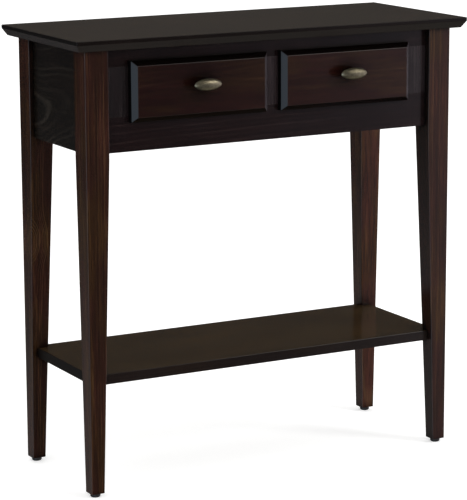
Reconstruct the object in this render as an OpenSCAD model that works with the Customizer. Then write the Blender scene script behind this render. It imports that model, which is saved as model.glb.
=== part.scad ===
// Console table with two drawers, four tapered legs and a lower shelf.
// +Z is up and -Y is the front. The origin is on the floor, at the middle of the table's
// extent from side to side and from the knobs to the back edge of the tabletop.

/* [Tabletop] */
// Height of the tabletop above the floor
table_h = 762; // [740:1:790]
// Width of the tabletop
top_w = 740; // [730:1:800]
// Depth of the tabletop
top_d = 305; // [300:1:330]
// Thickness of the tabletop
top_t = 18; // [16:1:22]
// Height of the square part of the edge, above the undercut
edge_land = 6; // [4:1:8]
// How far the undercut leans in at the underside
edge_undercut = 7.5; // [4:0.5:9]
// Reach of the tabletop past the legs at each end
end_overhang = 22; // [18:1:26]
// Reach of the tabletop past the legs, front and back
front_overhang = 20; // [18:1:24]

/* [Legs] */
// Leg width, square, from the top down to the taper
leg_w = 42; // [40:1:46]
// Leg width at the foot
foot_w = 24; // [22:1:30]
// Height at which the two inner faces start to taper
taper_z = 565; // [540:1:570]
// Diameter of a foot glide
glide_d = 17; // [14:1:20]
// Height of a foot glide
glide_h = 7; // [5:1:9]

/* [Frame] */
// Height of the aprons and of the frame around the drawers
apron_h = 170; // [168:1:176]
// Thickness of aprons, rails and stiles
board_t = 19; // [18:0.5:20]
// Distance of the drawer frame behind the front of the legs
frame_setback = 12.5; // [11:0.5:14]
// Distance of the end and back aprons inside the faces of the legs
apron_setback = 8; // [6:0.5:9]

/* [Shelf] */
// Height of the upper face of the lower shelf
shelf_z = 206; // [180:1:260]
// Thickness of the lower shelf
shelf_t = 18; // [18:1:20]
// Distance of the shelf ends inside the faces of the legs
shelf_end_setback = 11; // [9:1:13]
// Distance of the shelf's long edges inside the faces of the legs
shelf_front_setback = 13; // [11:1:14]
// Depth of the housing in each leg that holds a shelf corner
housing = 6; // [4:1:7]

/* [Drawers] */
// Width of a drawer front
front_w = 252; // [244:1:256]
// Height of a drawer front
front_h = 101; // [98:1:104]
// Thickness of a drawer front
front_t = 18; // [18:0.5:20]
// Width and depth of the bevel round a drawer front
front_bevel = 8.5; // [6:0.5:10]
// Space between the two drawer fronts
front_gap = 26; // [24:1:32]
// Height of the drawer fronts' lower edge above the apron's lower edge
front_lift = 48.5; // [46:0.5:52]
// Thickness of the drawer sides and backs
side_t = 12; // [11:0.5:13]
// Height of the drawer box
box_h = 74; // [70:1:75]
// Travel of a drawer
travel = 150; // [100:5:150]

/* [Knobs] */
// Width of the oval head of a knob
knob_w = 50; // [40:1:56]
// Height of the oval head
knob_h = 20; // [16:1:24]
// Depth of the oval head, front to back
knob_dome = 13; // [10:1:14]
// Reach of a knob in front of the drawer front
knob_reach = 26; // [24:1:30]
// Height of a knob above the middle of the drawer front
knob_rise = 7; // [0:1:8]

/* [Hidden] */
$fn = 48;

// Clearances: between bodies, in a drilled hole, and round a drawer box in its opening
body_gap = 0.5;
hole_play = 0.05;
box_play = 1.5;

// Planes across the table, front to back
face_to_edge = front_overhang + frame_setback - body_gap - front_t;
knob_beyond = knob_reach - face_to_edge;
front_y = (knob_beyond - top_d) / 2;
back_y = front_y + top_d;
leg_front = front_y + front_overhang;
leg_back = back_y - front_overhang;
frame_y = leg_front + frame_setback;
frame_mid = frame_y + board_t / 2;
frame_back = frame_y + board_t;
rear_y = leg_back - apron_setback;
rear_in = rear_y - board_t;

// Planes from the middle to the right
leg_out = top_w / 2 - end_overhang;
leg_in = leg_out - leg_w;
apron_out = leg_out - apron_setback;
apron_in = apron_out - board_t;

// Levels
top_z = table_h - top_t;
apron_z = top_z - apron_h;
overlay = 10;
opening_z = apron_z + front_lift + overlay;
opening_h = front_h - 2 * overlay;
opening_top = opening_z + opening_h;

// Drawer openings and stiles
drawer_x = (front_gap + front_w) / 2;
opening_w = front_w - 2 * overlay;
centre_stile_w = front_gap + 2 * overlay;
side_stile_in = drawer_x + opening_w / 2;
side_stile_w = leg_in - side_stile_in;

// Drawer box, with its own X from the middle of the drawer
box_w = opening_w - 2 * box_play;
box_z = opening_z + body_gap;
box_top = box_z + box_h;
front_back_y = frame_y - body_gap;
face_y = front_back_y - front_t;
box_back = rear_in - 13.5;
groove_z = box_z + 8;
groove_deep = 6;
groove_play = 0.2;
bottom_t = 4;
front_z = apron_z + front_lift;
knob_z = front_z + front_h / 2 + knob_rise;

// Runners carry and guide the drawers, and kickers keep them from tipping
ledge_w = 18;
ledge_t = 20;
guide_w = 12;
guide_h = 11;
runner_x = side_stile_in + guide_w / 2;
kicker_w = 20;
kicker_z = box_top + 2;
stop_w = 30;
stop_t = 12;
stop_h = 10;
stop_back = box_back - side_t - travel - 2;

// Corner blocks stand across the inner corner of each leg, measured from its outer corner
block_z = opening_z + 13.5;
block_h = 78;
block_near = 2 * leg_w + 6;
block_far = block_near + board_t * sqrt(2);
cleat_s = 18;
cleat_z = top_z - cleat_s;
cleat_end = 2;

// Hanger bolts, their nuts and washers, along the diagonal from a leg's outer corner
bolt_d = 6;
bolt_tip = leg_w * sqrt(2) - 28;
bolt_end = block_far / sqrt(2) + 10;
bolt_zs = [block_z + 22, block_z + 56];
washer_d = 16;
washer_t = 1.6;
nut_af = 10;
nut_t = 5;

// Dowels
dowel_d = 8;
dowel_l = 30;
box_dowel_d = 6;
box_dowel_l = 24;
box_dowel_in_front = 10;
box_dowel_zs = [box_z + 24, box_top - 15];

// Screws and pins
screw_d = 4;
screw_l = 30;
box_screw_d = 3.5;
box_screw_zs = [box_z + 27, box_top - 15];
knob_screw_d = 4;
knob_screw_in_knob = 8;
pin_d = 1.6;
pin_l = 18;
pin_xs = [-80, 0, 80];

// Shelf screws rise from pockets in the underside into the legs
pocket_angle = 15;
pocket_d = 9.5;
shelf_screw_l = 38;
shelf_screw_in_leg = 16;
shelf_corner = leg_size_at(shelf_z) - housing;
nail_d = 2.5;
nail_l = 16;

// Every dowel of the frame as [centre, rotation that turns +Z along it]
ALONG_X = [0, 90, 0];
ALONG_Y = [90, 0, 0];
ALONG_Z = [0, 0, 0];
apron_dowel_zs = [apron_z + 25, apron_z + 85, apron_z + 145];
rail_dowel_zs = [apron_z + 15, apron_z + 42, (opening_top + top_z) / 2];
rail_dowels = [for (x = [-leg_in, leg_in], z = rail_dowel_zs) [[x, frame_mid, z], ALONG_X]];
stile_xs = [-side_stile_in - side_stile_w / 2, 0, side_stile_in + side_stile_w / 2];
stile_dowels = [for (x = stile_xs, z = [opening_z, opening_top]) [[x, frame_mid, z], ALONG_Z]];
apron_mid = apron_out - board_t / 2;
end_dowels = [for (x = [-apron_mid, apron_mid], y = [leg_front + leg_w, leg_back - leg_w],
                   z = apron_dowel_zs) [[x, y, z], ALONG_Y]];
rear_dowels = [for (x = [-leg_in, leg_in], z = apron_dowel_zs)
               [[x, rear_y - board_t / 2, z], ALONG_X]];
runner_dowel_xs = [-side_stile_in, -13, 13, side_stile_in];
runner_dowels = [for (x = runner_dowel_xs, y = [frame_back, rear_in])
                 [[x, y, opening_z - ledge_t / 2], ALONG_Y]];

// Every wood screw of the frame as [centre of its head, rotation that turns +Z along it]
cleat_ys = [leg_front + leg_w + 40, leg_back - leg_w - 40];
cleat_up_screws = [for (x = [-1, 1], y = cleat_ys)
                   [[x * (apron_in - cleat_s / 2), y, cleat_z], ALONG_Z]];
cleat_side_screws = [for (x = [-1, 1], y = cleat_ys)
                     [[x * (apron_in - cleat_s), y - 15, cleat_z + cleat_s / 2], [0, 90 * x, 0]]];
kicker_screws = [for (x = [-drawer_x, drawer_x], y = [frame_back + 50, rear_in - 45])
                 [[x, y, top_z + 12 - screw_l], ALONG_Z]];
stop_screws = [for (x = [-drawer_x, drawer_x])
               [[x, stop_back - stop_t / 2, kicker_z - stop_h], ALONG_Z]];

// Leg width at height z
function leg_size_at(z) =
    z >= taper_z ? leg_w : foot_w + (leg_w - foot_w) * (z - glide_h) / (taper_z - glide_h);

// Box given by its lowest and highest corner
module block(low, high) translate(low) cube(high - low);

// Slab centred on Z, its upper face smaller by inset on each edge over the last depth of it
module bevelled_slab(w, h, t, inset, depth) {
    intersection() {
        rotate([90, 0, 0])
            linear_extrude(h, center = true) slab_profile(w, t, inset, depth);
        rotate([90, 0, 90])
            linear_extrude(w, center = true) slab_profile(h, t, inset, depth);
    }
}

module slab_profile(w, t, inset, depth) {
    polygon([[-w / 2, 0], [w / 2, 0], [w / 2, t - depth], [w / 2 - inset, t],
             [inset - w / 2, t], [-w / 2, t - depth]]);
}

// Rods for a list of [centre, rotation], and the holes for them
module rods(places, d, l) {
    for (p = places) translate(p[0]) rotate(p[1]) cylinder(h = l, d = d, center = true);
}

module dowel_holes(places) rods(places, dowel_d + 2 * hole_play, dowel_l + 1);

// Countersunk screw along +Z, its flat head at z = 0; play widens it into a hole
module screw(d, l, play = 0) {
    head_d = 2 * d;
    head_t = d * 0.6;
    cylinder(h = head_t, d1 = head_d + 2 * play, d2 = d + 2 * play);
    translate([0, 0, head_t]) cylinder(h = l - head_t + play, d = d + 2 * play);
}

module screws(places, play = 0) {
    for (p = places) translate(p[0]) rotate(p[1]) screw(screw_d, screw_l, play);
}

module screw_holes(places) screws(places, hole_play);

// Corner of the table: +X and +Y run inwards from the outer corner of one leg
module at_corner(side, end) {
    translate([side * leg_out, end < 0 ? leg_front : leg_back, 0])
        mirror([side > 0 ? 1 : 0, 0, 0]) mirror([0, end > 0 ? 1 : 0, 0]) children();
}

module at_each_corner() {
    for (side = [-1, 1], end = [-1, 1]) at_corner(side, end) children();
}

// Places children along the diagonal of a corner, with +Z pointing inwards
module on_diagonal(d, z) {
    translate([d / sqrt(2), d / sqrt(2), z]) rotate([0, 90, 45]) children();
}

// Shelf screw from its tip (+Z) to its head, in a corner's own frame
module at_shelf_screw() {
    on_diagonal(shelf_corner * sqrt(2), shelf_z - shelf_t / 2 + 1)
        rotate([0, -180 + pocket_angle, 0]) children();
}

module shelf_screw(play = 0) {
    at_shelf_screw() translate([0, 0, shelf_screw_in_leg - shelf_screw_l])
        screw(screw_d, shelf_screw_l, play);
}

// Drawer: X from its own middle; side is -1 for the left drawer and 1 for the right
module at_drawer(side) translate([side * drawer_x, 0, 0]) children();

// ---- Table: carcase ----

module tabletop() {
    color("#3a3430") difference() {
        translate([0, (front_y + back_y) / 2, table_h])
            mirror([0, 0, 1])
                bevelled_slab(top_w, top_d, top_t, edge_undercut, top_t - edge_land);
        screw_holes(cleat_up_screws);
        screw_holes(kicker_screws);
    }
}

module leg_profile() {
    polygon([[0, glide_h], [foot_w, glide_h], [leg_w, taper_z], [leg_w, top_z], [0, top_z]]);
}

module leg(side, end) {
    color("#2d1d17") difference() {
        at_corner(side, end) difference() {
            intersection() {
                mirror([0, 1, 0]) rotate([90, 0, 0]) linear_extrude(leg_w) leg_profile();
                rotate([90, 0, 90]) linear_extrude(leg_w) leg_profile();
            }
            for (z = bolt_zs) on_diagonal(bolt_tip - 1, z)
                cylinder(h = leg_w, d = bolt_d + 2 * hole_play);
            block([shelf_corner, shelf_front_setback, shelf_z - shelf_t],
                  [leg_w, leg_w, shelf_z]);
            block([shelf_end_setback, shelf_corner, shelf_z - shelf_t],
                  [leg_w, leg_w, shelf_z]);
            shelf_screw(hole_play);
            translate([foot_w / 2, foot_w / 2, glide_h - 1])
                cylinder(h = nail_l, d = nail_d + 2 * hole_play);
        }
        if (end < 0) dowel_holes(rail_dowels);
        if (end > 0) dowel_holes(rear_dowels);
        dowel_holes(end_dowels);
    }
}

module top_rail() {
    color("#2f211c") difference() {
        block([-leg_in, frame_y, opening_top], [leg_in, frame_back, top_z]);
        dowel_holes(rail_dowels);
        dowel_holes(stile_dowels);
    }
}

module bottom_rail() {
    color("#2f211c") difference() {
        block([-leg_in, frame_y, apron_z], [leg_in, frame_back, opening_z]);
        dowel_holes(rail_dowels);
        dowel_holes(stile_dowels);
        dowel_holes(runner_dowels);
    }
}

module stile(x, w) {
    color("#2f211c") difference() {
        block([x - w / 2, frame_y, opening_z], [x + w / 2, frame_back, opening_top]);
        dowel_holes(stile_dowels);
    }
}

module side_apron(side) {
    color("#1f1815") difference() {
        mirror([side < 0 ? 1 : 0, 0, 0])
            block([apron_in, leg_front + leg_w, apron_z], [apron_out, leg_back - leg_w, top_z]);
        dowel_holes(end_dowels);
        screw_holes(cleat_side_screws);
    }
}

module back_apron() {
    color("#1f1815") difference() {
        block([-leg_in, rear_in, apron_z], [leg_in, rear_y, top_z]);
        dowel_holes(rear_dowels);
        dowel_holes(runner_dowels);
    }
}

module lower_shelf() {
    shelf_x = leg_out - shelf_end_setback;
    color("#2d261c") difference() {
        block([-shelf_x, leg_front + shelf_front_setback, shelf_z - shelf_t],
              [shelf_x, leg_back - shelf_front_setback, shelf_z]);
        at_each_corner() {
            translate([0, 0, shelf_z - shelf_t - 1])
                cube([shelf_corner, shelf_corner, shelf_t + 2]);
            shelf_screw(hole_play);
            at_shelf_screw() translate([0, 0, shelf_screw_in_leg - shelf_screw_l - 30])
                cylinder(h = 30, d = pocket_d);
        }
    }
}

// ---- Table: inside the frame ----

// Guide centred on x, with a ledge for a drawer side on each side listed in ledges
module runner(x, guide, ledges) {
    color("#4a3a2c") difference() {
        union() {
            block([x - guide / 2, frame_back, opening_z - ledge_t],
                  [x + guide / 2, rear_in, opening_z + guide_h]);
            for (s = ledges) translate([x, 0, 0]) mirror([s < 0 ? 1 : 0, 0, 0])
                block([0, frame_back, opening_z - ledge_t],
                      [guide / 2 + ledge_w, rear_in, opening_z]);
        }
        dowel_holes(runner_dowels);
    }
}

module kicker(side) {
    x = side * drawer_x;
    color("#4a3a2c") difference() {
        block([x - kicker_w / 2, frame_back, kicker_z], [x + kicker_w / 2, rear_in, top_z]);
        screw_holes(kicker_screws);
        screw_holes(stop_screws);
        for (p = kicker_screws) translate([p[0][0], p[0][1], kicker_z - 1])
            cylinder(h = p[0][2] - kicker_z + 1, d = 2 * screw_d + 1);
    }
}

module stop_block(side) {
    x = side * drawer_x;
    color("#4a3a2c") difference() {
        block([x - stop_w / 2, stop_back - stop_t, kicker_z - stop_h],
              [x + stop_w / 2, stop_back, kicker_z]);
        screw_holes(stop_screws);
    }
}

module corner_block(side, end) {
    near_x = apron_setback + board_t;
    near_y = end < 0 ? frame_setback + board_t : near_x;
    color("#4a3a2c") at_corner(side, end) difference() {
        translate([0, 0, block_z]) linear_extrude(block_h)
            polygon([[near_x, block_near - near_x], [block_near - near_y, near_y],
                     [block_far - near_y, near_y], [near_x, block_far - near_x]]);
        for (z = bolt_zs) on_diagonal(bolt_tip, z)
            cylinder(h = bolt_end, d = bolt_d + 0.6);
    }
}

module top_cleat(side) {
    color("#4a3a2c") difference() {
        mirror([side < 0 ? 1 : 0, 0, 0])
            block([apron_in - cleat_s, leg_front + leg_w + cleat_end, cleat_z],
                  [apron_in, leg_back - leg_w - cleat_end, top_z]);
        screw_holes(cleat_up_screws);
        screw_holes(cleat_side_screws);
    }
}

// ---- Table: fastenings and feet ----

module frame_dowels() {
    color("#c9a877") {
        rods(rail_dowels, dowel_d, dowel_l);
        rods(stile_dowels, dowel_d, dowel_l);
        rods(end_dowels, dowel_d, dowel_l);
        rods(rear_dowels, dowel_d, dowel_l);
        rods(runner_dowels, dowel_d, dowel_l);
    }
}

module wood_screws() {
    color("#c2b27a") {
        screws(cleat_up_screws);
        screws(cleat_side_screws);
        screws(kicker_screws);
        screws(stop_screws);
    }
}

module hanger_bolts() {
    color("#b0b0ae") at_each_corner() for (z = bolt_zs)
        on_diagonal(bolt_tip, z) cylinder(h = bolt_end - bolt_tip, d = bolt_d);
}

module washers() {
    color("#b0b0ae") at_each_corner() for (z = bolt_zs)
        on_diagonal(block_far / sqrt(2), z) difference() {
            cylinder(h = washer_t, d = washer_d);
            translate([0, 0, -1]) cylinder(h = washer_t + 2, d = bolt_d + 0.4);
        }
}

module hex_nuts() {
    color("#b0b0ae") at_each_corner() for (z = bolt_zs)
        on_diagonal(block_far / sqrt(2) + washer_t, z) difference() {
            cylinder(h = nut_t, d = nut_af / cos(30), $fn = 6);
            translate([0, 0, -1]) cylinder(h = nut_t + 2, d = bolt_d + 2 * hole_play);
        }
}

module shelf_screws() {
    color("#b0b0ae") at_each_corner() shelf_screw();
}

module foot_glides() {
    rim = 1.5;
    color("#151515") at_each_corner() translate([foot_w / 2, foot_w / 2, 0]) difference() {
        union() {
            cylinder(h = rim, d1 = glide_d - 2 * rim, d2 = glide_d);
            translate([0, 0, rim]) cylinder(h = glide_h - rim, d = glide_d);
        }
        translate([0, 0, -1]) cylinder(h = 3, d = 3 * nail_d);
        cylinder(h = glide_h + 1, d = nail_d + 2 * hole_play);
    }
}

module glide_nails() {
    head_t = 1;
    color("#b0b0ae") at_each_corner() translate([foot_w / 2, foot_w / 2, 2 - head_t]) {
        cylinder(h = head_t, d = 2 * nail_d);
        cylinder(h = nail_l, d = nail_d);
    }
}

// ---- Drawers ----

module box_dowel_places(play = 0) {
    for (x = [side_t / 2 - box_w / 2, box_w / 2 - side_t / 2], z = box_dowel_zs)
        translate([x, front_back_y - box_dowel_in_front - 10 * play, z]) rotate([-90, 0, 0])
            cylinder(h = box_dowel_l + 20 * play, d = box_dowel_d + 2 * play);
}

module box_screw_places(play = 0) {
    for (x = [-1, 1], z = box_screw_zs)
        translate([x * box_w / 2, box_back - side_t / 2, z]) rotate([0, -90 * x, 0])
            screw(box_screw_d, screw_l, play);
}

module pin_places(play = 0) {
    for (x = pin_xs) translate([x, box_back - side_t / 2, groove_z])
        cylinder(h = pin_l + play, d = pin_d + 2 * play);
}

module knob_screw_shank(play = 0) {
    translate([0, front_back_y, knob_z]) rotate([90, 0, 0])
        cylinder(h = front_t + knob_screw_in_knob + play, d = knob_screw_d + 2 * play);
}

module drawer_front(side) {
    groove_half = box_w / 2 - side_t + groove_deep;
    color("#2b1816") at_drawer(side) difference() {
        translate([0, front_back_y, front_z + front_h / 2]) rotate([90, 0, 0])
            bevelled_slab(front_w, front_h, front_t, front_bevel, front_bevel);
        block([-groove_half, front_back_y - groove_deep, groove_z],
              [groove_half, front_back_y + 1, groove_z + bottom_t + groove_play]);
        box_dowel_places(hole_play);
        translate([0, 1, 0]) knob_screw_shank(2 * hole_play);
    }
}

module drawer_side(side, x) {
    color("#5a4636") at_drawer(side) difference() {
        mirror([x < 0 ? 1 : 0, 0, 0]) difference() {
            block([box_w / 2 - side_t, front_back_y, box_z], [box_w / 2, box_back, box_top]);
            block([box_w / 2 - side_t - 1, front_back_y - 1, groove_z],
                  [box_w / 2 - side_t + groove_deep, box_back + 1,
                   groove_z + bottom_t + groove_play]);
        }
        box_dowel_places(hole_play);
        box_screw_places(hole_play);
    }
}

module drawer_back(side) {
    color("#5a4636") at_drawer(side) difference() {
        block([side_t - box_w / 2, box_back - side_t, groove_z + bottom_t],
              [box_w / 2 - side_t, box_back, box_top]);
        box_screw_places(hole_play);
        pin_places(hole_play);
    }
}

module drawer_bottom(side) {
    half_w = box_w / 2 - side_t + groove_deep - groove_play;
    color("#8a7358") at_drawer(side) difference() {
        block([-half_w, front_back_y - groove_deep + groove_play, groove_z],
              [half_w, box_back, groove_z + bottom_t]);
        pin_places(hole_play);
    }
}

// Oval domed head on a round stem with a flared base, cast in one piece
module knob(side) {
    color("#8c8264") at_drawer(side) translate([0, face_y, knob_z]) rotate([90, 0, 0])
        difference() {
            union() {
                rotate_extrude()
                    polygon([[0, 0], [5.5, 0], [5.5, 1], [4.6, 2], [4.2, 8], [6.5, 15.5], [0, 17]]);
                translate([0, 0, knob_reach - knob_dome / 2])
                    scale([knob_w / 2, knob_h / 2, knob_dome / 2]) sphere(r = 1, $fn = 32);
            }
            translate([0, 0, -1])
                cylinder(h = knob_screw_in_knob + 2, d = knob_screw_d + 2 * hole_play);
        }
}

module knob_screw(side) {
    head_t = 2.5;
    color("#b0b0ae") at_drawer(side) {
        knob_screw_shank();
        translate([0, front_back_y, knob_z]) rotate([-90, 0, 0]) cylinder(h = head_t, d = 9);
    }
}

module drawer_dowels(side) color("#c9a877") at_drawer(side) box_dowel_places();

module drawer_screws(side) color("#c2b27a") at_drawer(side) box_screw_places();

module drawer_pins(side) {
    head_t = 0.8;
    color("#b0b0ae") at_drawer(side) {
        pin_places();
        for (x = pin_xs) translate([x, box_back - side_t / 2, groove_z - head_t])
            cylinder(h = head_t, d = 2 * pin_d);
    }
}

tabletop();
leg(-1, -1);  // leg_front_left
leg(1, -1);  // leg_front_right
leg(-1, 1);  // leg_rear_left
leg(1, 1);  // leg_rear_right
top_rail();
bottom_rail();
stile(stile_xs[0], side_stile_w);  // stile_left
stile(stile_xs[1], centre_stile_w);  // stile_centre
stile(stile_xs[2], side_stile_w);  // stile_right
side_apron(-1);  // side_apron_left
side_apron(1);  // side_apron_right
back_apron();
lower_shelf();
runner(-runner_x, guide_w, [1]);  // runner_left
runner(0, centre_stile_w, [-1, 1]);  // runner_centre
runner(runner_x, guide_w, [-1]);  // runner_right
kicker(-1);  // kicker_left
kicker(1);  // kicker_right
stop_block(-1);  // stop_block_left
stop_block(1);  // stop_block_right
corner_block(-1, -1);  // corner_block_front_left
corner_block(1, -1);  // corner_block_front_right
corner_block(-1, 1);  // corner_block_rear_left
corner_block(1, 1);  // corner_block_rear_right
top_cleat(-1);  // top_cleat_left
top_cleat(1);  // top_cleat_right
frame_dowels();
wood_screws();
hanger_bolts();
washers();
hex_nuts();
shelf_screws();
foot_glides();
glide_nails();
drawer_front(-1);  // left_drawer_front
drawer_side(-1, -1);  // left_drawer_side_outer
drawer_side(-1, 1);  // left_drawer_side_inner
drawer_back(-1);  // left_drawer_back
drawer_bottom(-1);  // left_drawer_bottom
knob(-1);  // left_drawer_knob
knob_screw(-1);  // left_drawer_knob_screw
drawer_dowels(-1);  // left_drawer_dowels
drawer_screws(-1);  // left_drawer_screws
drawer_pins(-1);  // left_drawer_pins
drawer_front(1);  // right_drawer_front
drawer_side(1, -1);  // right_drawer_side_inner
drawer_side(1, 1);  // right_drawer_side_outer
drawer_back(1);  // right_drawer_back
drawer_bottom(1);  // right_drawer_bottom
knob(1);  // right_drawer_knob
knob_screw(1);  // right_drawer_knob_screw
drawer_dowels(1);  // right_drawer_dowels
drawer_screws(1);  // right_drawer_screws
drawer_pins(1);  // right_drawer_pins
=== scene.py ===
"""Looks of the console table: eased edges, stained wood, metal and plastic, floor, lights, camera.

All lengths are in metres, in the CAD's own frame: +Z is up and -Y is the front.
"""

import math

import bpy
from mathutils import Matrix, Vector


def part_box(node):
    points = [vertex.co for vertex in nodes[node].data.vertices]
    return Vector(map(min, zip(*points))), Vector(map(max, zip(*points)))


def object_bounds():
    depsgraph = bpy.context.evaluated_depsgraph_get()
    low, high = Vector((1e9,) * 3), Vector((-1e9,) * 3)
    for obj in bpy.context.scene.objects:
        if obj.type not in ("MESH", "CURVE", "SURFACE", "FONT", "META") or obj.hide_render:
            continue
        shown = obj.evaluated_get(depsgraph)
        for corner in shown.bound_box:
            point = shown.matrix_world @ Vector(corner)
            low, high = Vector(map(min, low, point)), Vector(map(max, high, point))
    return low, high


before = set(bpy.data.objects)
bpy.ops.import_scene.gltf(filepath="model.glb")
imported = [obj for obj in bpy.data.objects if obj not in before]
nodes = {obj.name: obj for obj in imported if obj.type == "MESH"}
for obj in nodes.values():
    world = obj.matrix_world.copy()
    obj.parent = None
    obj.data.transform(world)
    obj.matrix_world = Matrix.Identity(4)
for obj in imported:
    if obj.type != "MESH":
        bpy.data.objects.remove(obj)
cad_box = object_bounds()

# Camera: the photograph's own viewing angle, towards a point on the table's middle
CAMERA_AZIMUTH = -28.38
CAMERA_ELEVATION = 11.68
CAMERA_ROLL = -0.25
CAMERA_DISTANCE = 4.0925
CAMERA_LENS_MM = 169.3
SENSOR_MM = 36.0
LOOK_AT_X = -0.0080
LOOK_AT_HEIGHT = 0.4764  # share of the table's height

# Dull surfaces are lit by an even white sky and the key. Reflections see a dim studio with soft
# cards in it: which way a card lies, half its width and its fading edge in degrees, and its
# radiance. The last card wins where two overlap
SKY = 0.82
STUDIO = (0.022, 0.022, 0.024)
CARDS = {
    "key": ((0.64, -0.67, 0.38), 9.0, 9.0, (4.0, 3.9, 3.7)),
    "rear_high": ((0.00, 0.45, 0.90), 25.0, 20.0, (0.24, 0.24, 0.24)),
    "front_low": ((-0.33, -0.91, -0.26), 14.0, 16.0, (0.40, 0.40, 0.41)),
    "rear_left": ((-0.36, 0.86, 0.36), 8.0, 10.0, (0.14, 0.13, 0.12)),
    "left": ((-0.88, -0.44, -0.15), 22.0, 20.0, (0.80, 0.96, 1.15)),
    "right": ((0.90, -0.42, -0.06), 26.0, 10.0, (0.68, 0.66, 0.74)),
    "rear_low": ((-0.45, 0.72, -0.60), 20.0, 8.0, (0.21, 0.21, 0.21)),
    "rear": ((0.47, 0.88, 0.02), 5.0, 10.0, (0.094, 0.084, 0.074)),
    "rear_right": ((0.86, 0.46, -0.15), 14.0, 14.0, (0.52, 0.52, 0.56)),
    "below": ((0.47, -0.35, -0.81), 12.0, 12.0, (0.34, 0.33, 0.30)),
    "above": ((-0.30, -0.45, 0.84), 18.0, 14.0, (0.30, 0.30, 0.30)),
}
KEY = {"at": (2.6, -2.7, 2.2), "towards": (0.0, 0.0, 0.55), "side": 0.9, "radiance": 18.0}
FLOOR_COLOUR = (0.93, 0.93, 0.925, 1.0)
FLOOR_GLOW = 0.48  # the floor glows a little, so it stays evenly white and shadows on it stay faint
FLOOR_HALF = 40.0

GRAIN_ORDER = {"X": (0, 1, 2), "Y": (1, 0, 2), "Z": (2, 0, 1)}


# ---- Node helpers ----


class Graph:
    """A node tree. Each call adds one node and returns its output socket."""

    def __init__(self, tree):
        self.tree = tree
        tree.nodes.clear()

    def node(self, kind, **settings):
        made = self.tree.nodes.new(kind)
        for name, value in settings.items():
            setattr(made, name, value)
        return made

    def put(self, socket, value):
        if isinstance(value, bpy.types.NodeSocket):
            self.tree.links.new(value, socket)
        elif value is not None:
            socket.default_value = value

    def math(self, operation, *values, clamp=False):
        made = self.node("ShaderNodeMath", operation=operation, use_clamp=clamp)
        for socket, value in zip(made.inputs, values):
            self.put(socket, value)
        return made.outputs[0]

    def add(self, a, b):
        return self.math("ADD", a, b)

    def mul(self, a, b):
        return self.math("MULTIPLY", a, b)

    def fit(self, value, low, high, to_low=0.0, to_high=1.0, smooth=True):
        """value from low..high to to_low..to_high, clamped."""
        made = self.node("ShaderNodeMapRange")
        made.interpolation_type = "SMOOTHSTEP" if smooth else "LINEAR"
        for name, v in (("Value", value), ("From Min", low), ("From Max", high),
                        ("To Min", to_low), ("To Max", to_high)):
            self.put(made.inputs[name], v)
        return made.outputs["Result"]

    def split(self, vector):
        made = self.node("ShaderNodeSeparateXYZ")
        self.put(made.inputs[0], vector)
        return tuple(made.outputs)

    def join(self, x, y, z):
        made = self.node("ShaderNodeCombineXYZ")
        for socket, value in zip(made.inputs, (x, y, z)):
            self.put(socket, value)
        return made.outputs[0]

    def noise(self, vector, detail=2.0, roughness=0.5):
        made = self.node("ShaderNodeTexNoise", noise_dimensions="3D")
        self.put(made.inputs["Vector"], vector)
        made.inputs["Scale"].default_value = 1.0
        made.inputs["Detail"].default_value = detail
        made.inputs["Roughness"].default_value = roughness
        return made.outputs["Fac"]

    def random(self, value):
        made = self.node("ShaderNodeTexWhiteNoise", noise_dimensions="1D")
        self.put(made.inputs["W"], value)
        return made.outputs["Value"]

    def mix(self, share, a, b, blend="MIX"):
        made = self.node("ShaderNodeMix", data_type="RGBA", blend_type=blend)
        made.clamp_factor = True
        self.put(made.inputs[0], share)
        self.put(made.inputs[6], a)
        self.put(made.inputs[7], b)
        return made.outputs[2]

    def of_object(self, name):
        made = self.node("ShaderNodeAttribute", attribute_type="OBJECT", attribute_name=name)
        return made.outputs["Vector"]

    def normal(self):
        return self.split(self.node("ShaderNodeNewGeometry").outputs["Normal"])

    def place(self, per_metre):
        """The object's own coordinates, per_metre times finer."""
        made = self.node("ShaderNodeVectorMath", operation="SCALE")
        self.put(made.inputs[0], self.node("ShaderNodeTexCoord").outputs["Object"])
        made.inputs["Scale"].default_value = per_metre
        return made.outputs[0]

    def bump(self, height, distance, strength):
        made = self.node("ShaderNodeBump")
        self.put(made.inputs["Height"], height)
        made.inputs["Distance"].default_value = distance
        made.inputs["Strength"].default_value = strength
        return made.outputs["Normal"]

    def surface(self, **inputs):
        """A Principled surface on the material's output."""
        shader = self.node("ShaderNodeBsdfPrincipled")
        for name, value in inputs.items():
            self.put(shader.inputs[name.replace("_", " ")], value)
        out = self.node("ShaderNodeOutputMaterial")
        self.tree.links.new(shader.outputs[0], out.inputs["Surface"])
        return shader


def new_material(name):
    material = bpy.data.materials.new(name)
    material.use_nodes = True
    return material, Graph(material.node_tree)


def rgb(r, g, b):
    return (r, g, b, 1.0)


# ---- Wood ----

WOOD_IOR = 1.5
BAND = (4.5, 62.0, 2.0)  # streaks per metre along and across the grain, and their detail
STREAK = (11.0, 210.0, 3.0)
FINE = (26.0, 900.0, 3.0)
PORES = (70.0, 1500.0, 1.0)
SWELL_PER_METRE = 50.0  # how strongly a swelling shows, for its depth
SWELL_LINES = 0.8
SWELL_LEVEL = 0.25
FACING_IN = (-0.95, -0.80)  # share of a face's normal that looks to the table's middle, where shade is painted
END_GRAIN = (0.85, 0.95)  # share of a face's normal along the grain
END_GRAIN_SINK = 0.65
WORN_RADIUS = 0.0014
# Specular level on open faces, and where painted shade or end grain sinks the colour
OPEN_SHINE, SUNK_SHINE = 0.5, 0.12
STAINED_RELIEF = 0.00018
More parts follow.
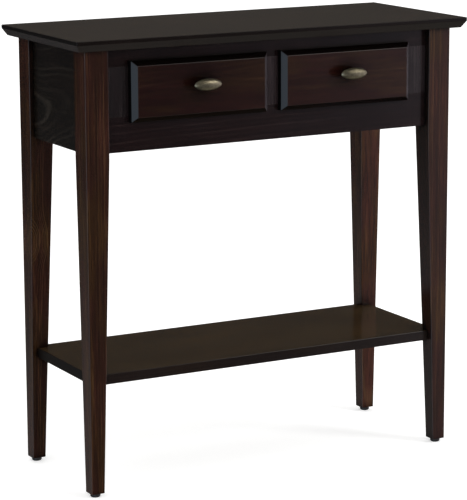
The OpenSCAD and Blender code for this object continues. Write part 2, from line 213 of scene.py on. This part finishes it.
# Painted shade where nearby parts shut a place in: how dark it turns, how far off parts count, and
# how open a shut and a clear place are. KNOB_SHADE is the painted shadow of the knobs on the drawer
# fronts.
CORNER_SHADE = (0.92, 0.013, 0.50, 0.61)
SHALLOW_CORNER_SHADE = (0.4, 0.013, 0.50, 0.61)
LEG_CORNER_SHADE = (0.92, 0.030, 0.50, 0.56)
KNOB_SHADE = (0.9, 0.030, 0.70, 0.90)


class Figure:
    """The figure of one sawn board, read from the object's own place in the tree.

    Each board carries three vectors: "heart" is how far the tree's heart lies across and
    through the board, and a seed; "lean" is how the heart drifts along the board, and the ring
    width; "swirl" is where along the board the rings swell, over what length and how far.
    """

    def __init__(self, g, grain, waviness):
        coordinates = g.node("ShaderNodeTexCoord").outputs["Object"]
        parts = g.split(coordinates)
        self.x, self.y = parts[0], parts[1]
        along, across, through = (parts[i] for i in GRAIN_ORDER[grain])
        heart_across, heart_through, seed = g.split(g.of_object("heart"))
        lean_across, lean_through, ring_width = g.split(g.of_object("lean"))
        swirl_along, swirl_length, swirl_depth = g.split(g.of_object("swirl"))
        self.seed = seed
        self.along, self.across, self.through = along, across, through
        shift = g.mul(seed, 3.7)
        drift = g.noise(g.join(g.mul(along, 2.2), g.mul(across, 7.0),
                               g.add(g.mul(through, 7.0), shift)), detail=2.0)
        drift = g.mul(g.math("SUBTRACT", drift, 0.5), waviness)
        from_heart_a = g.math("SUBTRACT", across, g.add(heart_across, g.mul(lean_across, along)))
        from_heart_t = g.math("SUBTRACT", through, g.add(heart_through, g.mul(lean_through, along)))
        from_swirl = g.math("DIVIDE", g.math("SUBTRACT", along, swirl_along), swirl_length)
        swell = g.math("EXPONENT", g.mul(g.mul(from_swirl, from_swirl), -1.0))
        from_heart_t = g.add(from_heart_t, g.mul(swell, swirl_depth))
        self.swell = g.mul(swell, g.mul(g.math("ABSOLUTE", swirl_depth), SWELL_PER_METRE))
        radius = g.math("SQRT", g.add(g.mul(from_heart_a, from_heart_a),
                                      g.mul(from_heart_t, from_heart_t)))
        wiggle = g.noise(g.join(g.mul(along, 18.0), g.mul(across, 90.0),
                                g.add(g.mul(through, 90.0), shift)), detail=1.0)
        radius = g.add(g.add(radius, drift), g.mul(wiggle, 0.0016))
        rings = g.math("DIVIDE", radius, ring_width)
        ring = g.math("FLOOR", rings)
        phase = g.math("FRACT", rings)
        self.late = g.mul(g.fit(phase, 0.45, 0.80), g.fit(phase, 0.86, 1.0, 1.0, 0.0))
        self.ring_random = g.random(g.add(ring, seed))
        self.band = self.fibre(g, *BAND)
        self.streak = self.fibre(g, *STREAK)
        self.fine = self.fibre(g, *FINE)
        self.pore = g.fit(self.fibre(g, *PORES), 0.56, 0.68)
        self.blotch = g.noise(g.join(g.mul(along, 5.0), g.mul(across, 11.0),
                                     g.add(g.mul(through, 11.0), shift)), detail=3.0)
        self.cloud = g.noise(g.join(g.mul(along, 8.0), g.mul(across, 34.0),
                                    g.add(g.mul(through, 34.0), g.add(shift, 5.0))), detail=3.0)

    def fibre(self, g, per_metre_along, per_metre_across, detail):
        """Noise drawn out along the grain."""
        return g.noise(g.join(g.mul(self.along, per_metre_along),
                              g.mul(self.across, per_metre_across),
                              g.add(g.mul(self.through, per_metre_across), self.seed)),
                       detail=detail, roughness=0.55)


def worn_edges(g, radius):
    """1 on sharp outer edges, fading to 0 within radius."""
    rounded = g.node("ShaderNodeBevel", samples=4)
    rounded.inputs["Radius"].default_value = radius
    flat = g.node("ShaderNodeNewGeometry").outputs["Normal"]
    dot = g.node("ShaderNodeVectorMath", operation="DOT_PRODUCT")
    g.put(dot.inputs[0], rounded.outputs[0])
    g.put(dot.inputs[1], flat)
    return g.fit(dot.outputs["Value"], 0.80, 0.99, 1.0, 0.0)


def paint_corner_shade(g, share, reach, shut, clear):
    """share in inner corners and other shut-in places, as painted shade, and 0 on open faces."""
    open_sky = g.node("ShaderNodeAmbientOcclusion", samples=6)
    open_sky.inputs["Distance"].default_value = reach
    return g.fit(open_sky.outputs["AO"], shut, clear, share, 0.0)


def stained_wood(name, grain, dark, body, cast, warm, lines=0.5, streaks=0.5, roughness=0.28,
                 waviness=0.012, relief=0.35, corner_shade=CORNER_SHADE, rim=None, inner=None, right_bevel_highlight=None):
    """Dark stain under satin lacquer. Early wood drinks the stain, so the late wood shows as
    thin light lines.

    body and dark are the field and its dark streaks, cast is what the field drifts to in
    clouds, and warm is the late wood. nook is the painted shade in inner corners: how dark it
    is, how far off things shade the corners, and how open a shut and a clear place are. rim is
    the tint on a board's edges (on the drawer fronts, painted shade on the bevels), its face's
    axis, where edge turns into face along that axis, and how much painted shade darkens the
    long edges. inner is the painted shade tint on faces that look along X to the table's
    middle, and how open a clear place is on every face that looks inwards, so corner shade is
    painted wider there. rubbed is a paler colour painted on bevels that face right: a painted
    highlight where they catch the light.
    """
    material, g = new_material(name)
    f = Figure(g, grain, waviness)
    normal = g.normal()
    # level is the board's stain level, raised on some boards as painted light
    level, warmth, wear = g.split(g.of_object("tone"))
    share, reach, shut, clear = corner_shade
    dull = g.add(g.mul(g.fit(f.streak, 0.36, 0.64, 1.0, 0.0), 0.55),
                 g.mul(g.fit(f.band, 0.36, 0.64, 1.0, 0.0), 0.45))
    colour = g.mix(g.fit(f.cloud, 0.42, 0.62), rgb(*body), rgb(*cast))
    colour = g.mix(g.mul(dull, streaks), colour, rgb(*dark))
    line = g.mul(f.late, g.fit(f.ring_random, 0.15, 1.0, 0.15, 1.0))
    line = g.mul(line, g.fit(f.blotch, 0.30, 0.62, 0.35, 1.0))
    line = g.mul(line, g.fit(f.fine, 0.30, 0.60, 0.55, 1.0))
    gold = g.mul(g.fit(f.band, 0.50, 0.68), g.fit(f.streak, 0.50, 0.66))
    line = g.mul(line, g.add(lines, g.mul(f.swell, SWELL_LINES)))
    light = g.math("MAXIMUM", line, g.mul(gold, warmth))
    colour = g.mix(light, colour, rgb(*warm))
    colour = g.mix(g.mul(f.pore, 0.35), colour, rgb(*(0.4 * c for c in dark)))
    level = g.mul(level, g.fit(f.blotch, 0.25, 0.75, 0.80, 1.20))
    level = g.mul(level, g.fit(f.fine, 0.30, 0.70, 0.88, 1.12))
    level = g.mul(level, g.add(1.0, g.mul(f.swell, SWELL_LEVEL)))
    # A darker tint on edges and bevels; on the drawer fronts it is painted shade on the bevels
    if rim:
        tint, facing, edge_below, face_above, long_edge_shade = rim
        on_edge = g.fit(g.math("ABSOLUTE", normal[facing]), edge_below, face_above, 1.0, 0.0)
        colour = g.mix(on_edge, colour, g.mix(1.0, colour, rgb(*tint), "MULTIPLY"))
    # Painted shade on faces that look to the table's middle: a darker tint, and painted corner
    # shade that reaches wider across them
    if inner:
        tint, clear_inside = inner
        outward_x = g.mul(normal[0], g.math("SIGN", f.x))
        outward_y = g.mul(normal[1], g.math("SIGN", f.y))
        colour = g.mix(g.fit(outward_x, *FACING_IN, 1.0, 0.0), colour,
                       g.mix(1.0, colour, rgb(*tint), "MULTIPLY"))
        clear = g.fit(g.math("MINIMUM", outward_x, outward_y), *FACING_IN, clear_inside, clear)
    # A paler colour painted on bevels that face right: a painted highlight where they catch the
    # light
    if right_bevel_highlight:
        right_bevel_mask = g.mul(g.fit(normal[0], 0.45, 0.65), g.fit(normal[0], 0.80, 0.90, 1.0, 0.0))
        colour = g.mix(g.mul(right_bevel_mask, g.fit(f.band, 0.3, 0.7, 0.7, 1.0)), colour, rgb(*right_bevel_highlight))
    colour = g.mix(1.0, colour, g.join(level, level, level), "MULTIPLY")
    edge = g.mul(worn_edges(g, WORN_RADIUS), g.fit(f.streak, 0.35, 0.65, 0.1, 1.0))
    colour = g.mix(g.mul(edge, wear), colour, rgb(*(1.5 * c for c in warm)))
    end_grain = g.fit(g.math("ABSOLUTE", normal[GRAIN_ORDER[grain][0]]), *END_GRAIN)
    # Painted shade in shut-in places and on the long edges, and end grain that drinks more stain,
    # sink the colour and its shine
    stain_sink_and_shade = g.math("MAXIMUM", paint_corner_shade(g, share, reach, shut, clear),
                  g.mul(end_grain, END_GRAIN_SINK))
    # Painted shade darkens the long front and back edges
    if rim:
        long_edge = g.mul(on_edge, g.math("ABSOLUTE", normal[1]))
        stain_sink_and_shade = g.math("MAXIMUM", stain_sink_and_shade, g.mul(long_edge, long_edge_shade))
    colour = g.mix(stain_sink_and_shade, colour, rgb(*(0.1 * c for c in dark)))
    gloss = g.add(roughness - 0.05 * relief, g.mul(f.fine, 0.10 * relief))
    gloss = g.add(g.add(gloss, g.mul(f.pore, 0.15 * relief)), g.mul(end_grain, 0.25))
    height = g.math("SUBTRACT", g.add(g.mul(f.fine, 0.2), g.mul(f.late, 0.3)), g.mul(f.pore, 0.4))
    g.surface(Base_Color=colour, Roughness=gloss, IOR=WOOD_IOR,
              Specular_IOR_Level=g.fit(stain_sink_and_shade, 0.0, 1.0, OPEN_SHINE, SUNK_SHINE),
              Normal=g.bump(height, STAINED_RELIEF, relief))
    return material


def bare_wood(name, grain, early, late, roughness=0.6):
    """Planed softwood or beech, with no stain."""
    material, g = new_material(name)
    f = Figure(g, grain, 0.008)
    shade = g.add(g.mul(f.late, g.fit(f.ring_random, 0.0, 1.0, 0.4, 0.9)), g.mul(f.fine, 0.25))
    colour = g.mix(shade, rgb(*early), rgb(*late))
    level = g.fit(f.blotch, 0.2, 0.8, 0.88, 1.10)
    colour = g.mix(1.0, colour, g.join(level, level, level), "MULTIPLY")
    gloss = g.add(roughness - 0.06, g.mul(f.fine, 0.14))
    height = g.math("SUBTRACT", g.mul(f.fine, 0.5), g.mul(f.late, 0.2))
    g.surface(Base_Color=colour, Roughness=gloss, IOR=WOOD_IOR,
              Normal=g.bump(height, 0.0002, 0.3))
    return material


def plywood(name, face, core, ply_thickness):
    """Thin plywood: a sliced face, and plies of turned grain on its edges."""
    material, g = new_material(name)
    f = Figure(g, "X", 0.02)
    shade = g.add(g.mul(f.late, 0.5), g.mul(f.fine, 0.3))
    colour = g.mix(shade, rgb(*face), rgb(*(0.75 * c for c in face)))
    ply = g.math("FRACT", g.math("DIVIDE", f.through, 2 * ply_thickness))
    turned = g.fit(ply, 0.48, 0.52)
    on_edge = g.fit(g.math("ABSOLUTE", g.normal()[2]), 0.4, 0.6, 1.0, 0.0)
    colour = g.mix(g.mul(turned, on_edge), colour, rgb(*core))
    gloss = g.add(0.42, g.mul(f.fine, 0.12))
    g.surface(Base_Color=colour, Roughness=gloss, IOR=WOOD_IOR,
              Normal=g.bump(f.fine, 0.0001, 0.25))
    return material


# ---- Metal and plastic ----


def antique_brass(name):
    material, g = new_material(name)
    patina = g.fit(g.noise(g.place(220.0), detail=4.0, roughness=0.6), 0.35, 0.68)
    speck = g.noise(g.place(2600.0), detail=2.0)
    colour = g.mix(g.mul(patina, 0.55), rgb(0.36, 0.32, 0.22), rgb(0.17, 0.145, 0.085))
    colour = g.mix(g.fit(speck, 0.60, 0.75, 0.0, 0.4), colour, rgb(0.12, 0.10, 0.06))
    gloss = g.add(0.33, g.mul(patina, 0.16))
    g.surface(Base_Color=colour, Metallic=1.0, Roughness=gloss,
              Normal=g.bump(speck, 0.00005, 0.25))
    return material


def plated_steel(name, bright, dull):
    material, g = new_material(name)
    cloud = g.noise(g.place(700.0), detail=4.0, roughness=0.65)
    colour = g.mix(g.fit(cloud, 0.35, 0.65), rgb(*bright), rgb(*dull))
    gloss = g.fit(cloud, 0.3, 0.7, 0.24, 0.42)
    g.surface(Base_Color=colour, Metallic=1.0, Roughness=gloss,
              Normal=g.bump(cloud, 0.00004, 0.2))
    return material


def moulded_plastic(name):
    material, g = new_material(name)
    pebble = g.noise(g.place(1800.0), detail=2.0)
    colour = g.mix(pebble, rgb(0.008, 0.008, 0.008), rgb(0.018, 0.018, 0.018))
    gloss = g.fit(pebble, 0.3, 0.7, 0.45, 0.62)
    g.surface(Base_Color=colour, Roughness=gloss, Normal=g.bump(pebble, 0.00006, 0.4))
    return material


# ---- Which material and which part of the tree each board has ----

STAIN_TOP = dict(dark=(0.014, 0.0090, 0.0056), body=(0.019, 0.0122, 0.0076),
                 cast=(0.020, 0.0135, 0.0080), warm=(0.026, 0.017, 0.010), lines=0.25,
                 streaks=0.5, roughness=0.22, relief=0.03, corner_shade=SHALLOW_CORNER_SHADE,
                 # The tabletop's long front and back edges get painted shade
                 rim=((0.50, 0.46, 0.62), 2, 0.85, 0.98, 0.55))
STAIN_LEG = dict(dark=(0.0100, 0.0030, 0.0014), body=(0.0290, 0.0080, 0.0044),
                 cast=(0.0320, 0.0125, 0.0026), warm=(0.074, 0.041, 0.016), lines=0.40,
                 streaks=0.9, roughness=0.21, relief=0.05, corner_shade=LEG_CORNER_SHADE,
                 # The legs' faces that look to the table's middle get painted shade
                 inner=((0.45, 0.45, 0.60), 0.90))
STAIN_FRAME = dict(dark=(0.0040, 0.0015, 0.0015), body=(0.0080, 0.0028, 0.0028),
                   cast=(0.0080, 0.0036, 0.0040), warm=(0.024, 0.014, 0.012), lines=0.30,
                   streaks=0.8, roughness=0.21, relief=0.05, corner_shade=SHALLOW_CORNER_SHADE)
STAIN_STILE = dict(dark=(0.0060, 0.0038, 0.0042), body=(0.0110, 0.0070, 0.0078),
                   cast=(0.0110, 0.0080, 0.0086), warm=(0.026, 0.020, 0.019), lines=0.30,
                   streaks=0.7, roughness=0.21, relief=0.05, corner_shade=SHALLOW_CORNER_SHADE)
STAIN_APRON = dict(dark=(0.0026, 0.0018, 0.0010), body=(0.0060, 0.0042, 0.0024),
                   cast=(0.0066, 0.0040, 0.0024), warm=(0.028, 0.023, 0.018), lines=0.42,
                   streaks=0.7, roughness=0.25, waviness=0.014, relief=0.06)
STAIN_SHELF = dict(dark=(0.032, 0.0195, 0.0080), body=(0.040, 0.0250, 0.0110),
                   cast=(0.042, 0.0245, 0.0090), warm=(0.052, 0.034, 0.015), lines=0.25,
                   streaks=0.5, roughness=0.16, relief=0.03,
                   rim=((0.26, 0.27, 0.52), 2, 0.85, 0.98, 0.0))
# On the drawer fronts the rim tint is painted shade on the bevels, KNOB_SHADE is the painted shadow
# of the knobs, and rubbed is a painted highlight on the bevels that face right
STAIN_FRONT = dict(dark=(0.0070, 0.0018, 0.0012), body=(0.0140, 0.0034, 0.0026),
                   cast=(0.0175, 0.0066, 0.0024), warm=(0.036, 0.018, 0.008), lines=0.30,
                   streaks=0.7, roughness=0.19, relief=0.06, corner_shade=KNOB_SHADE,
                   rim=((0.12, 0.15, 0.25), 1, 0.75, 0.95, 0.0), right_bevel_highlight=(0.046, 0.039, 0.044))

MATERIALS = {
    "top_x": stained_wood("stained_top_x", "X", **STAIN_TOP),
    "leg_z": stained_wood("stained_leg_z", "Z", **STAIN_LEG),
    "frame_x": stained_wood("stained_frame_x", "X", **STAIN_FRAME),
    "frame_z": stained_wood("stained_frame_z", "Z", **STAIN_STILE),
    "apron_x": stained_wood("stained_apron_x", "X", **STAIN_APRON),
    "apron_y": stained_wood("stained_apron_y", "Y", **STAIN_APRON),
    "shelf_x": stained_wood("stained_shelf_x", "X", **STAIN_SHELF),
    "front_x": stained_wood("stained_front_x", "X", **STAIN_FRONT),
    "box_x": bare_wood("drawer_box_x", "X", (0.50, 0.34, 0.19), (0.34, 0.20, 0.09), 0.42),
    "box_y": bare_wood("drawer_box_y", "Y", (0.50, 0.34, 0.19), (0.34, 0.20, 0.09), 0.42),
    "inner_x": bare_wood("inner_wood_x", "X", (0.46, 0.32, 0.18), (0.30, 0.18, 0.08)),
    "inner_y": bare_wood("inner_wood_y", "Y", (0.46, 0.32, 0.18), (0.30, 0.18, 0.08)),
    "dowel": bare_wood("dowel_beech", "X", (0.60, 0.43, 0.26), (0.48, 0.31, 0.16)),
    "plywood": plywood("plywood_birch", (0.58, 0.42, 0.25), (0.33, 0.20, 0.10), 0.001),
    "brass": antique_brass("antique_brass_cast"),
    "plastic": moulded_plastic("black_plastic_moulded"),
    "yellow_zinc": plated_steel("yellow_zinc_plate", (0.66, 0.55, 0.30), (0.48, 0.37, 0.17)),
    "zinc": plated_steel("bright_zinc_plate", (0.62, 0.62, 0.61), (0.42, 0.42, 0.42)),
}

# Tone of a board: overall level (the board's own stain, and painted light on the boards to the
# right and on the centre stile), how far golden streaks show, wear of its edges
PLAIN = (1.0, 0.3, 0.15)
NO_SWIRL = (0.0, 1.0, 0.0)


def board(material, heart=(0.02, -0.07), lean=(0.01, 0.02), rings=0.005, tone=PLAIN,
          swirl=NO_SWIRL):
    return {"material": material, "heart": heart, "lean": lean, "rings": rings, "tone": tone,
            "swirl": swirl}


# The raised levels of the rear right leg, the centre and right stiles and the right drawer front
# are painted light
BOARDS = {
    "tabletop": board("top_x", (0.05, 0.60), (0.02, 0.03), 0.006, (1.0, 0.2, 0.05)),
    "lower_shelf": board("shelf_x", (-0.05, 0.10), (0.02, 0.02), 0.006, (1.0, 0.2, 0.05)),
    "leg_front_left": board("leg_z", (-0.40, -0.14), (0.006, 0.010), 0.0055, (1.0, 0.45, 0.2)),
    "leg_front_right": board("leg_z", (0.25, -0.20), (-0.008, 0.010), 0.0050, (1.05, 0.2, 0.1)),
    "leg_rear_left": board("leg_z", (-0.356, 0.085), (0.004, -0.02), 0.0030, (0.9, 0.3, 0.1),
                           (0.395, 0.030, -0.020)),
    "leg_rear_right": board("leg_z", (0.34, 0.02), (0.012, 0.015), 0.0055, (2.0, 0.3, 0.1)),
    "top_rail": board("frame_x", (-0.16, 0.69), (0.01, 0.02)),
    "bottom_rail": board("frame_x", (-0.17, 0.55), (0.01, 0.01)),
    "stile_left": board("frame_z", (-0.22, -0.16), (0.01, 0.01), 0.004, (1.0, 0.7, 0.15)),
    "stile_centre": board("frame_z", (0.04, -0.15), (0.02, 0.01), 0.005, (2.0, 0.3, 0.1)),
    "stile_right": board("frame_z", (0.33, -0.17), (0.01, 0.01), 0.005, (1.8, 0.3, 0.15)),
    "side_apron_left": board("apron_y", (-0.26, 0.645), (-0.10, -0.15), 0.0060,
                             (1.0, 0.3, 0.1), (0.06, 0.05, 0.010)),
    "side_apron_right": board("apron_y", (0.28, 0.64), (-0.08, 0.05), 0.0060, (1.0, 0.3, 0.1)),
    "back_apron": board("apron_x", (0.18, 0.63), (0.04, 0.03), 0.0060, (1.0, 0.3, 0.1)),
    "left_drawer_front": board("front_x", (-0.20, 0.66), (0.03, 0.05), 0.0055, (0.95, 0.15, 0.1)),
    "right_drawer_front": board("front_x", (-0.21, 0.60), (-0.03, 0.04), 0.0055,
                                (1.25, 0.15, 0.1)),
}
SHARED_BOARDS = (  # end of the node's name, its material and its grain
    ("drawer_side_outer", "box_y"), ("drawer_side_inner", "box_y"), ("drawer_back", "box_x"),
    ("drawer_bottom", "plywood"), ("runner_left", "inner_y"), ("runner_centre", "inner_y"),
    ("runner_right", "inner_y"), ("kicker_left", "inner_y"), ("kicker_right", "inner_y"),
    ("top_cleat_left", "inner_y"), ("top_cleat_right", "inner_y"),
    ("stop_block_left", "inner_x"), ("stop_block_right", "inner_x"),
    ("corner_block_front_left", "inner_x"), ("corner_block_front_right", "inner_x"),
    ("corner_block_rear_left", "inner_x"), ("corner_block_rear_right", "inner_x"),
)
FITTINGS = (
    ("_dowels", "dowel"), ("wood_screws", "yellow_zinc"), ("drawer_screws", "yellow_zinc"),
    ("_knob", "brass"), ("foot_glides", "plastic"), ("_knob_screw", "zinc"), ("_pins", "zinc"),
    ("hanger_bolts", "zinc"), ("washers", "zinc"), ("hex_nuts", "zinc"),
    ("shelf_screws", "zinc"), ("glide_nails", "zinc"),
)


def dress(name, choice, seed):
    """Gives a CAD node its material and its place in the tree."""
    piece = nodes[name]
    for slot in piece.material_slots:
        slot.material = MATERIALS[choice["material"]]
    piece["heart"] = [*choice["heart"], float(seed)]
    piece["lean"] = [*choice["lean"], choice["rings"]]
    piece["tone"] = list(choice["tone"])
    piece["swirl"] = list(choice["swirl"])


def choice_for(name):
    if name in BOARDS:
        return BOARDS[name]
    for end, material in (*SHARED_BOARDS, *FITTINGS):
        if name.endswith(end):
            low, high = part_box(name)
            middle = (low + high) / 2
            order = GRAIN_ORDER[material[-1].upper()] if material[-2] == "_" else (0, 1, 2)
            return board(material, (middle[order[1]] + 0.02, middle[order[2]] - 0.06))
    raise KeyError(name)


# ---- Eased edges ----

SHARP = math.radians(20)
FLAT = math.radians(0.2)


def edge_marker():
    """Marks the long outer edges of a board, so that holes and small cuts stay sharp."""
    tree = bpy.data.node_groups.new("mark_arrises", "GeometryNodeTree")
    tree.interface.new_socket("Geometry", in_out="INPUT", socket_type="NodeSocketGeometry")
    tree.interface.new_socket("Shortest", in_out="INPUT", socket_type="NodeSocketFloat")
    tree.interface.new_socket("Geometry", in_out="OUTPUT", socket_type="NodeSocketGeometry")
    g = Graph(tree)
    source = g.node("NodeGroupInput")
    plain = g.node("GeometryNodeSetMeshNormal", mode="SHARPNESS")
    plain.inputs["Remove Custom"].default_value = True
    ends = g.node("GeometryNodeInputMeshEdgeVertices")
    length = g.node("ShaderNodeVectorMath", operation="DISTANCE")
    turn = g.node("GeometryNodeInputMeshEdgeAngle")
    store = g.node("GeometryNodeStoreNamedAttribute", data_type="FLOAT", domain="EDGE")
    out = g.node("NodeGroupOutput")
    g.put(plain.inputs["Mesh"], source.outputs["Geometry"])
    g.put(length.inputs[0], ends.outputs["Position 1"])
    g.put(length.inputs[1], ends.outputs["Position 2"])
    is_long = g.math("GREATER_THAN", length.outputs["Value"], source.outputs["Shortest"])
    is_outer = g.math("GREATER_THAN", turn.outputs["Signed Angle"], SHARP)
    is_sharp = g.math("GREATER_THAN", turn.outputs["Unsigned Angle"], SHARP)
    g.put(plain.inputs["Edge Sharpness"], is_sharp)
    g.put(store.inputs["Geometry"], plain.outputs["Mesh"])
    store.inputs["Name"].default_value = "bevel_weight_edge"
    g.put(store.inputs["Value"], g.mul(is_long, is_outer))
    g.put(out.inputs[0], store.outputs["Geometry"])
    return tree


MARKER = edge_marker()
SHORTEST_ARRIS = 0.0035
LEG_ARRIS = 0.026
EASED = (  # end of a node's name, radius of its edges, shortest edge that is eased
    ("tabletop", 0.0009, SHORTEST_ARRIS),
    ("lower_shelf", 0.0014, SHORTEST_ARRIS),
    ("leg_front_left", 0.0014, LEG_ARRIS), ("leg_front_right", 0.0014, LEG_ARRIS),
    ("leg_rear_left", 0.0014, LEG_ARRIS), ("leg_rear_right", 0.0014, LEG_ARRIS),
    ("_rail", 0.0003, SHORTEST_ARRIS), ("stile_left", 0.0003, SHORTEST_ARRIS),
    ("stile_centre", 0.0003, SHORTEST_ARRIS), ("stile_right", 0.0003, SHORTEST_ARRIS),
    ("_apron_left", 0.0008, SHORTEST_ARRIS), ("_apron_right", 0.0008, SHORTEST_ARRIS),
    ("back_apron", 0.0008, SHORTEST_ARRIS),
    ("_drawer_front", 0.0006, SHORTEST_ARRIS),
    ("drawer_side_outer", 0.0008, SHORTEST_ARRIS), ("drawer_side_inner", 0.0008, SHORTEST_ARRIS),
    ("drawer_back", 0.0008, SHORTEST_ARRIS),
    ("runner_left", 0.0006, SHORTEST_ARRIS), ("runner_centre", 0.0006, SHORTEST_ARRIS),
    ("runner_right", 0.0006, SHORTEST_ARRIS), ("kicker_left", 0.0006, SHORTEST_ARRIS),
    ("kicker_right", 0.0006, SHORTEST_ARRIS),
)


def ease(name, radius, shortest):
    piece = nodes[name]
    weld = piece.modifiers.new("weld", "WELD")
    weld.merge_threshold = 1e-6
    flats = piece.modifiers.new("flats", "DECIMATE")
    flats.decimate_type = "DISSOLVE"
    flats.angle_limit = FLAT
    mark = piece.modifiers.new("mark", "NODES")
    mark.node_group = MARKER
    mark["Socket_1"] = shortest
    bevel = piece.modifiers.new("ease", "BEVEL")
    bevel.limit_method = "WEIGHT"
    bevel.width = radius
    bevel.segments = 3
    bevel.use_clamp_overlap = False
    bevel.loop_slide = False
    bevel.harden_normals = True


# ---- Stage, lights and camera ----


def make_floor():
    mesh = bpy.data.meshes.new("floor")
    corners = [(x * FLOOR_HALF, y * FLOOR_HALF, 0.0)
               for x, y in ((-1, -1), (1, -1), (1, 1), (-1, 1))]
    mesh.from_pydata(corners, [], [(0, 1, 2, 3)])
    material, g = new_material("floor_paint")
    g.surface(Base_Color=FLOOR_COLOUR, Roughness=0.9, Specular_IOR_Level=0.0,
              Emission_Color=rgb(1.0, 1.0, 1.0), Emission_Strength=FLOOR_GLOW)
    material.cycles.emission_sampling = "NONE"
    mesh.materials.append(material)
    floor = bpy.data.objects.new("floor", mesh)
    bpy.context.scene.collection.objects.link(floor)
    floor.visible_glossy = False


def studio_reflection(g):
    """What glossy rays see: the dim studio and its cards."""
    way = g.node("ShaderNodeTexCoord").outputs["Generated"]
    colour = rgb(*STUDIO)
    for lies, half_width, fade, radiance in CARDS.values():
        towards = g.node("ShaderNodeVectorMath", operation="DOT_PRODUCT")
        g.put(towards.inputs[0], way)
        g.put(towards.inputs[1], Vector(lies).normalized())
        inner = math.cos(math.radians(half_width))
        outer = math.cos(math.radians(half_width + fade))
        share = g.fit(towards.outputs["Value"], outer, inner)
        colour = g.mix(share, colour, rgb(*radiance))
    return colour


def make_world():
    world = bpy.data.worlds.new("studio")
    bpy.context.scene.world = world
    world.use_nodes = True
    world.cycles.sampling_method = "NONE"
    g = Graph(world.node_tree)
    ray = g.node("ShaderNodeLightPath")
    lit = g.mix(ray.outputs["Is Glossy Ray"], rgb(SKY, SKY, SKY), studio_reflection(g))
    seen = g.mix(ray.outputs["Is Camera Ray"], lit, rgb(1.0, 1.0, 1.0))
    background = g.node("ShaderNodeBackground")
    g.put(background.inputs["Color"], seen)
    out = g.node("ShaderNodeOutputWorld")
    g.put(out.inputs["Surface"], background.outputs[0])


def make_key():
    lamp = bpy.data.lights.new("key", "AREA")
    lamp.shape = "SQUARE"
    lamp.size = KEY["side"]
    lamp.energy = KEY["radiance"] * math.pi * KEY["side"] ** 2
    light = bpy.data.objects.new("key", lamp)
    bpy.context.scene.collection.objects.link(light)
    light.location = KEY["at"]
    facing = Vector(KEY["towards"]) - Vector(KEY["at"])
    light.rotation_euler = facing.to_track_quat("-Z", "Y").to_euler()
    light.visible_camera = False
    light.visible_glossy = False  # reflections see the key card in its place


def make_camera():
    low, high = cad_box
    top_low, top_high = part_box("tabletop")
    target = Vector((LOOK_AT_X, (top_low.y + top_high.y) / 2, LOOK_AT_HEIGHT * high.z))
    azimuth, elevation = math.radians(CAMERA_AZIMUTH), math.radians(CAMERA_ELEVATION)
    back = Vector((math.sin(azimuth) * math.cos(elevation),
                   -math.cos(azimuth) * math.cos(elevation), math.sin(elevation)))
    right = Vector((math.cos(azimuth), math.sin(azimuth), 0.0))
    turn = Matrix((right, back.cross(right), back)).transposed().to_4x4()
    roll = Matrix.Rotation(math.radians(CAMERA_ROLL), 4, "Z")
    data = bpy.data.cameras.new("camera")
    data.lens = CAMERA_LENS_MM
    data.sensor_width = SENSOR_MM
    data.clip_end = 500.0
    camera = bpy.data.objects.new("camera", data)
    bpy.context.scene.collection.objects.link(camera)
    camera.matrix_world = Matrix.Translation(target + CAMERA_DISTANCE * back) @ turn @ roll
    bpy.context.scene.camera = camera


# ---- Make everything ----

for index, node_name in enumerate(sorted(nodes)):
    dress(node_name, choice_for(node_name), index)
for node_name in nodes:
    for end, radius, shortest in EASED:
        if node_name.endswith(end):
            ease(node_name, radius, shortest)
            break
make_floor()
make_world()
make_key()
make_camera()
bpy.context.scene.view_settings.view_transform = "Standard"
